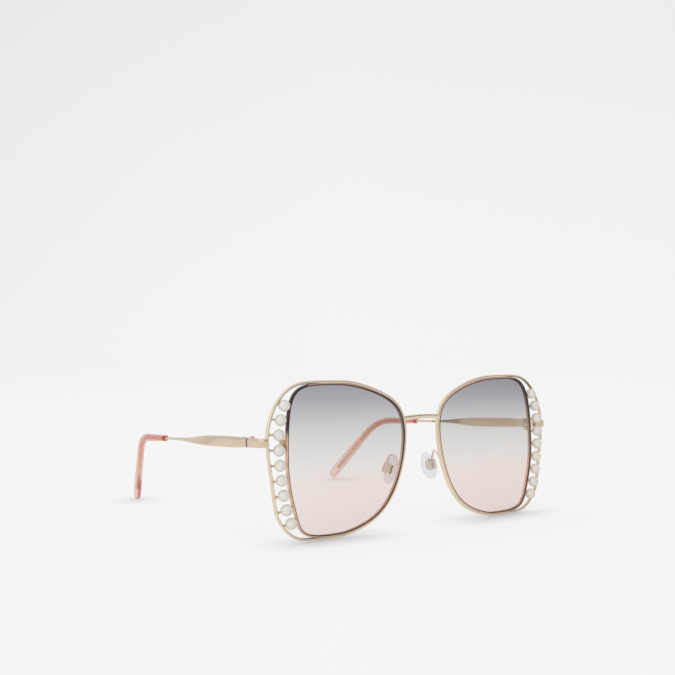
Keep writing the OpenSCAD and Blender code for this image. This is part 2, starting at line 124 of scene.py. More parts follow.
def fillet(poly, r, steps=3):
    """A closed polygon with each corner rounded inside it."""
    out, n = [], len(poly)
    for i in range(n):
        p, a, b = np.array(poly[i], float), np.array(poly[i - 1], float), np.array(poly[(i + 1) % n], float)
        la, lb = np.linalg.norm(a - p), np.linalg.norm(b - p)
        k = min(r[i] if isinstance(r, (list, tuple)) else r, 0.45 * la, 0.45 * lb)
        s, e = p + (a - p) / la * k, p + (b - p) / lb * k
        for j in range(steps + 1):
            u = j / steps
            out.append((1 - u) ** 2 * s + 2 * u * (1 - u) * p + u * u * e)
    return np.array(out)


def catmull(P, n):
    """n points through the rows of P."""
    P = np.asarray(P, float)
    Q = np.vstack([2 * P[0] - P[1], P, 2 * P[-1] - P[-2]])
    out = []
    for t in np.linspace(0, len(P) - 1, n):
        i = min(int(t), len(P) - 2)
        u = t - i
        a, b, c, d = Q[i], Q[i + 1], Q[i + 2], Q[i + 3]
        out.append(0.5 * ((2 * b) + (c - a) * u + (2 * a - 5 * b + 4 * c - d) * u * u + (3 * b - a - 3 * c + d) * u ** 3))
    return np.array(out)


# ------------------------------------------------------------------ mesh helpers
def faces_loop(n, m, closed=True):
    f = []
    for i in range(n if closed else n - 1):
        a, b = i * m, ((i + 1) % n) * m
        for j in range(m):
            k = (j + 1) % m
            f.append((a + j, a + k, b + k, b + j))
    return f


def fix_winding(V, F):
    """Outward winding from the signed volume."""
    vol = 0.0
    V = np.asarray(V)
    for f in F:
        p = V[f[0]]
        for k in range(1, len(f) - 1):
            vol += np.dot(p, np.cross(V[f[k]], V[f[k + 1]]))
    return [tuple(reversed(f)) for f in F] if vol < 0 else F


def side_name(sx):
    return "left_" if sx > 0 else "right_"


def put(name, V, F, sx, body, mat, node, sharp=40, attrs=None, align=True, more=()):
    """A mesh drawn for the +X side in mm, mirrored if needed, laid over its CAD node's box."""
    V = np.array(V, float)
    V[:, 0] *= sx
    F = fix_winding(V, F)
    V = V * MM
    if align and node:
        lo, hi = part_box(node)
        V += (np.array(lo) + np.array(hi)) / 2 - (V.min(0) + V.max(0)) / 2
    me = bpy.data.meshes.new(name)
    me.from_pydata([tuple(v) for v in V], [], F)
    me.validate()
    me.shade_smooth()
    me.set_sharp_from_angle(angle=math.radians(sharp))
    for key, values in (attrs or {}).items():
        a = me.attributes.new(key, "FLOAT", "POINT")
        a.data.foreach_set("value", np.asarray(values, np.float32))
    ob = bpy.data.objects.new(name, me)
    bpy.context.scene.collection.objects.link(ob)
    ob.data.materials.append(mat)
    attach(ob, body)
    if node:
        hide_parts(node, *more)
    return ob


def join(parts):
    V, F, o = [], [], 0
    for v, f in parts:
        V.append(np.asarray(v, float).reshape(-1, 3))
        F += [tuple(i + o for i in g) for g in f]
        o += len(V[-1])
    return np.vstack(V), F


def run(rows):
    rows = np.asarray(rows, float)
    n, m = rows.shape[:2]
    V = np.vstack([rows.reshape(-1, 3), rows[0].mean(0)[None], rows[-1].mean(0)[None]])
    F = faces_loop(n, m, False)
    F += [((j + 1) % m, j, n * m) for j in range(m)]
    F += [((n - 1) * m + j, (n - 1) * m + (j + 1) % m, n * m + 1) for j in range(m)]
    return V, F


# ------------------------------------------------------------------ materials
def new_mat(name):
    m = bpy.data.materials.new(name)
    m.use_nodes = True
    t = m.node_tree
    for n in list(t.nodes):
        t.nodes.remove(n)
    return m, t


class N:
    """Small node-graph writer."""

    def __init__(self, tree):
        self.t = tree

    def __call__(self, kind, ins=None, **props):
        n = self.t.nodes.new(kind)
        for k, v in props.items():
            setattr(n, k, v)
        for k, v in (ins or {}).items():
            s = n.inputs[k]
            if isinstance(v, bpy.types.NodeSocket):
                self.t.links.new(v, s)
            else:
                s.default_value = v
        return n

    def ramp(self, fac, stops, mode="LINEAR"):
        n = self.t.nodes.new("ShaderNodeValToRGB")
        n.color_ramp.interpolation = mode
        e = n.color_ramp.elements
        while len(e) > 1:
            e.remove(e[-1])
        e[0].position, e[0].color = stops[0][0], tuple(stops[0][1]) + (1,)
        for p, c in stops[1:]:
            x = e.new(p)
            x.color = tuple(c) + (1,)
        self.t.links.new(fac, n.inputs["Fac"])
        return n.outputs["Color"]

    def mix(self, fac, a, b, blend="MIX"):
        n = self.t.nodes.new("ShaderNodeMix")
        n.data_type = "RGBA"
        n.blend_type = blend
        for key, v in ((0, fac), (6, a), (7, b)):
            if isinstance(v, bpy.types.NodeSocket):
                self.t.links.new(v, n.inputs[key])
            else:
                n.inputs[key].default_value = v if key == 0 else tuple(v) + (1,)
        return n.outputs[2]

    def math(self, op, a, b=0.0, c=0.0, clamp=False):
        n = self.t.nodes.new("ShaderNodeMath")
        n.operation = op
        n.use_clamp = clamp
        for i, v in enumerate((a, b, c)):
            if isinstance(v, bpy.types.NodeSocket):
                self.t.links.new(v, n.inputs[i])
            else:
                n.inputs[i].default_value = v
        return n.outputs[0]

    def out(self, shader, volume=None):
        o = self.t.nodes.new("ShaderNodeOutputMaterial")
        self.t.links.new(shader, o.inputs["Surface"])
        if volume is not None:
            self.t.links.new(volume, o.inputs["Volume"])


def srgb(r, g, b):
    return tuple((c / 255 / 12.92) if c / 255 <= 0.04045 else ((c / 255 + 0.055) / 1.055) ** 2.4 for c in (r, g, b))


def metal(name, colour, rough, tint=(0.9, 0.95, 1.0), brush=(1, 1, 1), bump=0.03, var=0.08, metallic=1.0, attr=None):
    """Polished plated metal: broad tone drift, micro scratches, uneven polish, a painted sheen towards grazing angles,
    and optional painted shade and dark reflections from an attribute ramp.
    """
    m, t = new_mat(name)
    g = N(t)
    co = g("ShaderNodeTexCoord").outputs["Object"]
    st = g("ShaderNodeMapping", {"Vector": co, "Scale": brush})
    broad = g("ShaderNodeTexNoise", {"Vector": co, "Scale": 90.0, "Detail": 3.0, "Roughness": 0.55})
    fine = g("ShaderNodeTexNoise", {"Vector": st.outputs["Vector"], "Scale": 2600.0, "Detail": 4.0, "Roughness": 0.6})
    base = g.mix(g.math("MULTIPLY", broad.outputs["Fac"], 0.6), colour, tuple(c * (1 - var) * q for c, q in zip(colour, tint)))
    # attr: a mesh attribute read through a colour ramp, painting shade and dark reflections into the base colour
    if attr:
        a = g("ShaderNodeAttribute", attribute_name=attr[0]).outputs["Fac"]
        base = g.mix(1.0, g.ramp(a, attr[1]), g.mix(broad.outputs["Fac"], (1, 1, 1), (0.86, 0.86, 0.86)), "MULTIPLY")
    # paler towards grazing angles: a painted sheen on top of the metal's own Fresnel
    edge = g("ShaderNodeLayerWeight", {"Blend": 0.25}).outputs["Facing"]
    base = g.mix(g.math("MULTIPLY", edge, 0.18), base, (0.95, 0.9, 0.82))
    r = g.math("MULTIPLY_ADD", fine.outputs["Fac"], 0.12, rough - 0.06)
    bm = g("ShaderNodeBump", {"Height": fine.outputs["Fac"], "Strength": bump, "Distance": 0.00004})
    p = g("ShaderNodeBsdfPrincipled", {"Base Color": base, "Metallic": metallic, "Roughness": r, "Normal": bm.outputs["Normal"],
                                       "Coat Weight": 0.15, "Coat Roughness": 0.12})
    g.out(p.outputs["BSDF"])
    return m


# ramp for painted darkening: near black where the end piece meets the temple (painted shade in the hinge gap), brown on
# the left temple's neck (painted dark reflection)
GOLD = metal("gold_metal", (0.77, 0.60, 0.44), 0.22, attr=("painted_darkening", [(0.0, (0.78, 0.615, 0.455)), (0.4, (0.60, 0.45, 0.32)), (1.0, (0.03, 0.021, 0.017))]))
CORE = metal("core_metal", (0.90, 0.82, 0.68), 0.35)
SCREW = metal("screw_metal", (0.72, 0.62, 0.50), 0.25, bump=0.05)
HINGE = metal("hinge_metal", (0.80, 0.66, 0.52), 0.28, bump=0.05)
# 0 outer flank and lip, 0.5 dark line beside the lens and in the seam (painted shade), 1 inner wall in mauve-brown
# (painted reflection of the lens); the upper temporal flank is painted darker too
ROSE = metal("rose_metal", (0.6, 0.45, 0.34), 0.24,
             attr=("rim_shade_and_reflection", [(0.0, (0.82, 0.56, 0.41)), (0.12, (0.76, 0.50, 0.36)), (0.34, (0.085, 0.055, 0.04)), (0.62, (0.06, 0.04, 0.03)),
                            (0.8, (0.50, 0.37, 0.33)), (1.0, (0.66, 0.51, 0.46))]))
# ramp for painted shade on the outer wire's side facing the eyewire, darkest at the top corner
WIRE_GOLD = metal("wire_gold", (0.85, 0.73, 0.57), 0.22, attr=("painted_darkening", [(0.0, (0.87, 0.75, 0.585)), (0.4, (0.55, 0.42, 0.30)), (1.0, (0.03, 0.021, 0.017))]))
BRIDGE_GOLD = metal("bridge_gold", (0.84, 0.75, 0.58), 0.24)
PAD_GOLD = metal("pad_gold", (0.90, 0.74, 0.64), 0.24, bump=0.04)


def lens_mat():
    m, t = new_mat("tinted_lens")
    g = N(t)
    co = g("ShaderNodeTexCoord").outputs["Object"]
    z = g("ShaderNodeSeparateXYZ", {"Vector": co}).outputs["Z"]
    lo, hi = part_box("left_lens")
    f = g.math("DIVIDE", g.math("SUBTRACT", z, lo[2]), hi[2] - lo[2], clamp=True)
    ripple = g("ShaderNodeTexNoise", {"Vector": co, "Scale": 14.0, "Detail": 1.0}).outputs["Fac"]
    f = g.math("ADD", f, g.math("MULTIPLY", g.math("SUBTRACT", ripple, 0.5), 0.02), clamp=True)
    stops = []
    for p, c in ((0.0, (234, 220, 216)), (0.22, (235, 223, 219)), (0.36, (234, 224, 220)), (0.43, (230, 225, 221)), (0.49, (225, 223, 221)),
                 (0.56, (220, 219, 217)), (0.62, (216, 215, 213)), (0.69, (210, 210, 209)), (0.76, (201, 200, 201)), (0.825, (189, 187, 190)),
                 (0.89, (177, 175, 179)), (0.96, (168, 166, 171)), (1.0, (163, 160, 167))):
        lin = np.array(srgb(*c)) / 0.905
        stops.append((p, tuple(np.sqrt(np.clip(lin - 0.035, 0, 1)))))
    col = g.ramp(f, stops)
    slant = g("ShaderNodeLayerWeight", {"Blend": 0.5}).outputs["Facing"]
    col = g("ShaderNodeGamma", {"Color": col, "Gamma": g.math("MULTIPLY_ADD", slant, 0.95, 0.78)}).outputs["Color"]
    tr = g("ShaderNodeBsdfTransparent", {"Color": col})
    gl = g("ShaderNodeBsdfGlossy", {"Color": (0.95, 0.93, 1.0, 1), "Roughness": 0.02})
    front = g.math("SUBTRACT", 1.0, g("ShaderNodeNewGeometry").outputs["Backfacing"])
    fr = g.math("MULTIPLY", g("ShaderNodeFresnel", {"IOR": 1.28}).outputs["Fac"], front)
    mx = g("ShaderNodeMixShader", {"Fac": fr})
    t.links.new(tr.outputs[0], mx.inputs[1])
    t.links.new(gl.outputs[0], mx.inputs[2])
    g.out(mx.outputs[0])
    return m


def pearl_mat():
    m, t = new_mat("pearl")
    g = N(t)
    co = g("ShaderNodeTexCoord").outputs["Object"]
    each = g("ShaderNodeAttribute", attribute_name="each").outputs["Fac"]
    cloud = g("ShaderNodeTexNoise", {"Vector": co, "Scale": 420.0, "Detail": 3.0, "Distortion": 0.6}).outputs["Fac"]
    fac = g("ShaderNodeLayerWeight", {"Blend": 0.42}).outputs["Facing"]
    body = g.mix(each, (0.84, 0.81, 0.74), (0.82, 0.81, 0.76))
    # darker grey-green towards the pearl's edge: painted edge shade over the nacre's own greenish overtone
    rim = g.mix(cloud, (0.46, 0.47, 0.39), (0.58, 0.53, 0.45))
    base = g.mix(g.math("MULTIPLY", fac, 0.75), body, rim)
    orient = g.ramp(g.math("ADD", g.math("MULTIPLY", cloud, 0.6), g.math("MULTIPLY", fac, 0.5)),
                    [(0.3, (1, 1, 1)), (0.55, (1.0, 0.965, 0.95)), (0.75, (0.96, 1.0, 0.965)), (0.95, (0.97, 0.965, 1.0))])
    base = g.mix(1.0, base, orient, "MULTIPLY")
    bm = g("ShaderNodeBump", {"Height": cloud, "Strength": 0.05, "Distance": 0.00005})
    p = g("ShaderNodeBsdfPrincipled", {"Base Color": base, "Roughness": 0.24, "Normal": bm.outputs["Normal"], "Specular IOR Level": 0.6,
                                       "Coat Weight": 0.6, "Coat Roughness": 0.08, "Coat IOR": 1.6})
    g.out(p.outputs["BSDF"])
    return m


def tip_mat():
    """Translucent salmon sleeve: clear body with warmer noise streaks and a painted deep red streak standing in for
    light reflected inside it.
    """
    m, t = new_mat("pink_acetate")
    g = N(t)
    co = g("ShaderNodeTexCoord").outputs["Object"]
    a = g("ShaderNodeAttribute", attribute_name="along").outputs["Fac"]
    streak = g("ShaderNodeTexNoise", {"Vector": co, "Scale": 130.0, "Detail": 2.0}).outputs["Fac"]
    # deep red from this attribute is painted: a streak on the lower side standing in for light reflected inside the
    # sleeve, and painted shade at its mouth
    painted_deep_red = g("ShaderNodeAttribute", attribute_name="painted_deep_red").outputs["Fac"]
    tone = g.ramp(a, [(0.0, (0.98, 0.72, 0.66)), (0.3, (0.98, 0.78, 0.72)), (0.7, (0.99, 0.87, 0.81)), (1.0, (0.99, 0.93, 0.90))])
    tone = g.mix(g.math("MULTIPLY", streak, 0.12), tone, (0.94, 0.66, 0.62))
    tone = g.mix(g.math("MULTIPLY", painted_deep_red, 0.85), tone, (0.72, 0.17, 0.16))
    edge = g("ShaderNodeLayerWeight", {"Blend": 0.35}).outputs["Facing"]
    tone2 = g.mix(g.math("MULTIPLY", edge, 0.4), tone, (0.80, 0.44, 0.40))
    thru = g("ShaderNodeBsdfTransparent", {"Color": tone2})
    df = g("ShaderNodeBsdfDiffuse", {"Color": tone2})
    tr = g("ShaderNodeBsdfTranslucent", {"Color": tone})
    m0 = g("ShaderNodeMixShader", {"Fac": 0.45})
    t.links.new(df.outputs[0], m0.inputs[1])
    t.links.new(tr.outputs[0], m0.inputs[2])
    m1 = g("ShaderNodeMixShader", {"Fac": g.math("MULTIPLY_ADD", painted_deep_red, 0.2, 0.34)})
    t.links.new(thru.outputs[0], m1.inputs[1])
    t.links.new(m0.outputs[0], m1.inputs[2])
    gl = g("ShaderNodeBsdfGlossy", {"Roughness": 0.12})
    front = g.math("SUBTRACT", 1.0, g("ShaderNodeNewGeometry").outputs["Backfacing"])
    mx = g("ShaderNodeMixShader", {"Fac": g.math("MULTIPLY", g("ShaderNodeFresnel", {"IOR": 1.4}).outputs["Fac"], front)})
    t.links.new(m1.outputs[0], mx.inputs[1])
    t.links.new(gl.outputs[0], mx.inputs[2])
    g.out(mx.outputs[0])
    return m


def pad_mat():
    m, t = new_mat("clear_silicone")
    g = N(t)
    co = g("ShaderNodeTexCoord").outputs["Object"]
    mist = g("ShaderNodeTexNoise", {"Vector": co, "Scale": 700.0, "Detail": 3.0}).outputs["Fac"]
    bm = g("ShaderNodeBump", {"Height": mist, "Strength": 0.015, "Distance": 0.00005})
    edge = g("ShaderNodeLayerWeight", {"Blend": 0.3}).outputs["Facing"]
    tr = g("ShaderNodeBsdfTransparent", {"Color": g.mix(edge, (0.965, 0.965, 0.97), (0.88, 0.88, 0.89))})
    milk = g("ShaderNodeBsdfTranslucent", {"Color": (0.92, 0.92, 0.94, 1), "Normal": bm.outputs["Normal"]})
    df = g("ShaderNodeBsdfDiffuse", {"Color": (0.92, 0.92, 0.94, 1)})
    m0 = g("ShaderNodeMixShader", {"Fac": 0.5})
    t.links.new(milk.outputs[0], m0.inputs[1])
    t.links.new(df.outputs[0], m0.inputs[2])
    m1 = g("ShaderNodeMixShader", {"Fac": g.math("MULTIPLY_ADD", mist, 0.04, 0.26)})
    t.links.new(tr.outputs[0], m1.inputs[1])
    t.links.new(m0.outputs[0], m1.inputs[2])
    gl = g("ShaderNodeBsdfGlossy", {"Roughness": 0.2, "Normal": bm.outputs["Normal"]})
    front = g.math("SUBTRACT", 1.0, g("ShaderNodeNewGeometry").outputs["Backfacing"])
    mx = g("ShaderNodeMixShader", {"Fac": g.math("MULTIPLY", g("ShaderNodeFresnel", {"IOR": 1.4}).outputs["Fac"], front)})
    t.links.new(m1.outputs[0], mx.inputs[1])
    t.links.new(gl.outputs[0], mx.inputs[2])
    g.out(mx.outputs[0])
    return m


LENS, PEARL, TIP, PAD = lens_mat(), pearl_mat(), tip_mat(), pad_mat()


# ------------------------------------------------------------------ temple path (mm)
SLIT = np.array([75.3 - 0.75, 12.7, 37.8])
T_LEN, TIP_AT, NECK, B_AT, B_LEN, LEAD = 141.2, 72.2, 64.0, 88.0, 23.2, 6.6


def t_dir(s):
    p = np.radians(3.37 + (47.8 - 3.37) * smooth((s - B_AT) / B_LEN))
    w = np.radians(3.1 + (21.8 - 3.1) * smooth((s - B_AT + LEAD) / (B_LEN + LEAD)))
    return np.array([-math.cos(p) * math.sin(w), math.cos(p) * math.cos(w), -math.sin(p)])


STEP = 0.25
_path = [SLIT]
for _i in range(int(150 / STEP)):
    _path.append(_path[-1] + STEP * t_dir((_i + 0.5) * STEP))
_path = np.array(_path)


def t_pos(s):
    i = min(int(s / STEP), len(_path) - 2)
    return _path[i] + (_path[i + 1] - _path[i]) * (s / STEP - i)


# ------------------------------------------------------------------ pad frame (mm)
PAD_POS = np.array([11.6, 7.4, 24.1])


def pad_at(p):
    a, b = math.radians(18), math.radians(-80)
    x, y, z = -p[0], p[1], p[2]
    y, z = y * math.cos(a) - z * math.sin(a), y * math.sin(a) + z * math.cos(a)
    return PAD_POS + np.array([x * math.cos(b) - y * math.sin(b), x * math.sin(b) + y * math.cos(b), z])


# ------------------------------------------------------------------ pieces
T = np.arange(NP * 26) / 26.0
B = EYE_D - 0.1
G = LENS_BACK + LENS_T / 2


def eyewire(sx):
    poly = [[0, 0.05], [0.2, -0.1], [EYE_W - 0.25, -0.1], [EYE_W, 0.15], [EYE_W, B - 0.2], [EYE_W - 0.2, B], [0, B], [0, G + LENS_T / 2 - 0.03], [0.42, G], [0, G - LENS_T / 2 + 0.03]]
    s = fillet(poly, [0.12, 0.14, 0.2, 0.22, 0.2, 0.2, 0.15, 0.06, 0.04, 0.06], 3)
    rows = np.stack([at(T, q[0], q[1]) for q in s], 1)
    off = spl(OUT, T + NP)[:, 2]
    rim_shade_and_reflection = np.zeros((len(T), len(s)))
    for k, q in enumerate(s):
        # front lip beside the lens: painted shade, the dark line of the groove and the lens edge
        if q[0] < 0.4 and q[1] < 0.21:
            rim_shade_and_reflection[:, k] = 0.5
        # inner wall: mauve-brown, a painted reflection of the lens
        elif q[0] < 0.5 and q[1] < EYE_D - 0.2:
            rim_shade_and_reflection[:, k] = 1.0
        # outer wall: painted shade in the seam where the outer wire runs close
        elif q[1] > 0.25 and q[1] < EYE_D - 0.25:
            rim_shade_and_reflection[:, k] = 0.5 * (1 - smooth((off - 1.9) / 0.8))
        # outer flank: painted shade along the upper temporal stretch
        if q[0] > 0.5:
            rim_shade_and_reflection[:, k] = np.maximum(rim_shade_and_reflection[:, k], 0.46 * smooth((T - 0.75) / 0.35) * (1 - smooth((T - 2.3) / 0.3)))
    n, m = rows.shape[:2]
    return put(side_name(sx) + "eyewire_rim", rows.reshape(-1, 3), faces_loop(n, m), sx, "front", ROSE, side_name(sx) + "eyewire",
               attrs={"rim_shade_and_reflection": rim_shade_and_reflection.reshape(-1)}, sharp=35)


def outer_wire(sx):
    s = sect(WIRE_W / 2, WIRE_D / 2, 2.6, 24)
    c, n = wire_c(T), nrm(T)
    rows = np.stack([c + np.stack([n[:, 0] * q[0], np.full(len(T), q[1]), n[:, 1] * q[0]], -1) for q in s], 1)
    # painted shade: the side facing the eyewire is darkened a little all round and strongly at the top corner, a
    # painted crevice shade
    inner = smooth((-s[:, 0] / (WIRE_W / 2) - 0.25) / 0.35)
    corner = smooth((T - 1.35) / 0.4) * (1 - smooth((T - 2.6) / 0.5))
    painted_darkening = np.maximum(corner[:, None] * inner[None, :] * 0.9, 0.12 * inner[None, :] * np.ones((len(T), 1)))
    return put(side_name(sx) + "outer_wire_rim", rows.reshape(-1, 3), faces_loop(*rows.shape[:2]), sx, "front", WIRE_GOLD, side_name(sx) + "outer_wire",
               sharp=50, attrs={"painted_darkening": painted_darkening.reshape(-1)})


def lens(sx):
    c = np.array([MID_X, 0, MID_Z])
    e = LENS_BACK
    base = at(T, -0.06, 0)

    def ring(k, d):
        q = c + (base - c) * k
        f = CROWN * (1 - k * k)
        return np.stack([q[:, 0], face_y(q[:, 0], q[:, 2]) + d - f, q[:, 2]], -1)

    ks = [0.04, 0.12, 0.22, 0.34, 0.46, 0.58, 0.7, 0.8, 0.88, 0.94, 0.98, 1.0]
    rows = [ring(k, e) for k in ks] + [at(T, 0.15, G - 0.28), at(T, 0.31, G), at(T, 0.15, G + 0.28)] + [ring(k, e + LENS_T) for k in reversed(ks)]
    rows = np.stack(rows, 0)
    m, n = rows.shape[:2]
    V, F = run(rows)
    V[-2] = [c[0], face_y(c[0], c[2]) + e - CROWN, c[2]]
    V[-1] = [c[0], face_y(c[0], c[2]) + e - CROWN + LENS_T, c[2]]
    return put(side_name(sx) + "lens_tinted", V, F, sx, "front", LENS, side_name(sx) + "lens", sharp=30)


def slot_c(t, d=0.0):
    off = spl(OUT, np.asarray(t, float) + NP)[..., 2]
    r = (EYE_W + off - WIRE_W / 2) / 2 + 0.05 * smooth((np.asarray(t) - NP - 1.15) / 0.35)
    p, n = spl(OUT, np.asarray(t, float) + NP), nrm(t)
    return np.stack([p[..., 0] + n[..., 0] * r, face_y(p[..., 0], p[..., 1]) + d, p[..., 1] + n[..., 1] * r], -1)


_tt = 11.78 + (1.51 + NP - 11.78) * np.arange(81) / 80
_pts = slot_c(_tt)
_sum = np.concatenate([[0], np.cumsum(np.linalg.norm(np.diff(_pts, axis=0), axis=1))])
PEARL_T = [float(np.interp(_sum[-1] * k / 8, _sum, _tt)) for k in range(9)]


def pearl_shape(c, axis, seed):
    """A slightly uneven pearl, drawn out a touch and dimpled where its pin goes in."""
    r, nu, nv = 2.25, 48, 26
    w = unit(axis)
    u = unit(np.cross(w, [0.3, 1.0, 0.2]))
    v = np.cross(w, u)
    rows = []
    for i in range(1, nv):
        a = math.pi * i / nv
        q = 2 * math.pi * np.arange(nu) / nu
        k = r * (1 - 0.006 * (1 + np.sin(2 * q + seed * 2.1) * math.sin(a) * np.sin(3 * a + seed)) / 2)
        rows.append(c + (np.cos(a) * w)[None] * k[:, None] + np.sin(a) * (np.cos(q)[:, None] * u + np.sin(q)[:, None] * v) * k[:, None])
    V, F = run(np.array(rows))
    V[-2], V[-1] = c + w * r * 0.985, c - w * r * 0.985
    return V, F


def pin_ends(t):
    off = spl(OUT, np.asarray(t, float) + NP)[..., 2]
    return at(t, EYE_W - 0.25, 1.1), at(t, off - WIRE_W / 2 + 0.25, 1.1)


def pearls(sx):
    parts, each = [], []
    for k, t in enumerate(PEARL_T):
        a, b = pin_ends(t)
        V, F = pearl_shape(slot_c(t), b - a, k * 1.7)
        parts.append((V, F))
        each += [(k * 0.37) % 1.0] * len(V)
    V, F = join(parts)
    return put(side_name(sx) + "pearls_nacre", V, F, sx, "front", PEARL, side_name(sx) + "pearls", attrs={"each": each}, sharp=80)


def pearl_pins(sx):
    parts = []
    for t in PEARL_T:
        a, b = pin_ends(t)
        h = np.linalg.norm(b - a)
        w = (b - a) / h
        u = unit(np.cross(w, [0, 0, 1.0]))
        v = np.cross(w, u)
        q = 2 * math.pi * np.arange(24) / 24
        rows = []
        for d, r in ((0, 0.62), (0.3, 0.6), (0.5, 0.5), (0.75, 0.42), (1.0, 0.4), (h - 1.0, 0.4), (h - 0.75, 0.43), (h - 0.5, 0.52), (h - 0.3, 0.62), (h, 0.64)):
            r = min(r, 0.62)
            rows.append(a + w * d + r * (np.cos(q)[:, None] * u + np.sin(q)[:, None] * v))
        parts.append(run(np.array(rows)))
    V, F = join(parts)
    return put(side_name(sx) + "pearl_pins_soldered", V, F, sx, "front", HINGE, side_name(sx) + "pearl_pins", align=True, sharp=50)


def bridge():
    e = wire_c(6.12)
    y0 = face_y(9, 44.7) + 0.75
    s = sect(1.85 / 2, 0.75, 4, 40)
    rows = []
    for u in np.linspace(-1, 1, 81):
        x = (e[0] + 0.25) * u
        rows.append(np.stack([np.full(len(s), x), y0 - 0.35 * (1 - u * u) + s[:, 1], 44.7 + 0.45 * (0.6 - u * u) + s[:, 0]], -1))
    V, F = run(np.array(rows))
    return put("bridge_bar", V, F, 1, "front", BRIDGE_GOLD, "bridge", sharp=45)


def end_piece(sx):
    a = wire_c(0.72)
    s = sect(1.8, 0.75, 5, 40)
    x1 = 75.3 - 0.75 + math.tan(math.radians(3.1)) * (12.7 - 4.2)
    P = np.array([[a[0] + 0.1, a[1] - 0.1, 0.88], [a[0] + 1.1, a[1] + 0.05, 0.9], [x1 - 0.75, a[1] + 0.4, 0.92], [x1 - 0.05, a[1] + 1.3, 0.94],
                  [x1, a[1] + 2.6, 0.95], [x1 - 0.2, 8, 0.97], [74.55 + 0.005, 12.7 - 0.08, 1]])
    Q = catmull(P, 97)
    rows = []
    for i in range(len(Q)):
        d = Q[min(i + 1, len(Q) - 1)] - Q[max(i - 1, 0)]
        if i == len(Q) - 1:
            d = np.array([0, 1, 0])
        z = 37.8 + (12.7 - Q[i][1]) * math.tan(math.radians(3.37)) * 0.9
        rows.append(place(np.stack([s[:, 0] * Q[i][2], s[:, 1]], -1), [Q[i][0], Q[i][1], z], [d[0], d[1], 0], [0, 0, 1]))
    V, F = run(np.array(rows))
    # painted shade: the end piece turns near black over its last half millimetre at the hinge gap
    painted_darkening = smooth((V[:, 1] - (SLIT[1] - 0.5)) / 0.15)
    return put(side_name(sx) + "end_piece_lug", V, F, sx, "front", GOLD, side_name(sx) + "end_piece", sharp=50, attrs={"painted_darkening": painted_darkening})


LIFT = math.radians(0.45)


def lifted(V, sx):
    """The wearer's left temple sits a touch higher."""
    if sx < 0:
        return V
    W = np.array(V, float) - SLIT
    y, z = W[:, 1] * math.cos(LIFT) - W[:, 2] * math.sin(LIFT), W[:, 1] * math.sin(LIFT) + W[:, 2] * math.cos(LIFT)
    W[:, 1], W[:, 2] = y, z
    return W + SLIT


def body_side(sx):
    return "left_temple" if sx > 0 else "right_temple"


def temple_arm(sx):
    rows = []
    for s in np.concatenate([[0.08, 0.2, 0.34, 0.48], np.linspace(0.8, 66, 108), np.linspace(66.4, TIP_AT + 1.2, 14)]):
        w = math.radians(90) * smooth((s - 20) / (NECK - 20))
        k = smooth((s - 30) / (NECK - 30))
        e = smooth((s - NECK) / 5)
        hh = 3.6 + (4.25 - 3.6) * smooth(s / 14)
        hh = hh + (1.9 - hh) * k - 0.4 * e
        tt = 1.5 - 0.1 + (1.15 - 1.5) * k
        rows.append(place(sect(hh / 2, tt / 2, 3.2, 40), t_pos(s), t_dir(s), [-math.sin(w), 0, math.cos(w)]))
    V, F = run(np.array(rows))
    # painted shade: the blade's first 0.4 mm at the hinge gap turns near black
    painted_darkening = 1 - smooth((V[:, 1] - (SLIT[1] + 0.42)) / 0.15)
    if sx > 0:
        # left temple only: one face of the twisted neck (37 to 58 mm along) painted darker brown, a painted dark
        # reflection
        run_y = V[:, 1] - SLIT[1]
        row_s = np.concatenate([np.tile(sect(1, 1, 3.2, 40)[:, 0] > -0.3, len(rows)), [False, False]])
        painted_darkening = np.maximum(painted_darkening, 0.55 * row_s * smooth((run_y - 37) / 6) * (1 - smooth((run_y - 58) / 4)))
    return put(side_name(sx) + "temple_blade", lifted(V, sx), F, sx, body_side(sx), GOLD, side_name(sx) + "temple_arm", sharp=50,
               attrs={"painted_darkening": painted_darkening})


CORE_END = T_LEN - 7


def core_wire(sx):
    rows = [place(sect(0.7, 0.7, 2, 24), t_pos(s), t_dir(s), [0, 0, 1]) for s in np.linspace(TIP_AT + 1.2, CORE_END, 110)]
    V, F = run(np.array(rows))
    return put(side_name(sx) + "core_wire_rod", lifted(V, sx), F, sx, body_side(sx), CORE, side_name(sx) + "core_wire", sharp=50)


def tip_size(s):
    a = (s - TIP_AT) / (T_LEN - TIP_AT)
    c, c2 = (T_LEN - s) / 3, (T_LEN - s) / 2
    hh = (1.25 + 0.35 * smooth(a * 3) + (2.5 - 1.6) * smooth((a - 0.45) / 0.45)) * (math.sqrt(max(1 - (1 - c) ** 2, 0.006)) if c < 1 else 1)
    tt = (1.3 + 0.1 * smooth(a * 3)) * (math.sqrt(max(1 - (1 - c2) ** 2, 0.01)) if c2 < 1 else 1)
    m = (s - TIP_AT) / 0.5
    if m < 1:
        q = 0.86 + 0.14 * math.sqrt(max(1 - (1 - m) ** 2, 0))
        hh, tt = hh * q, tt * q
    return hh, tt


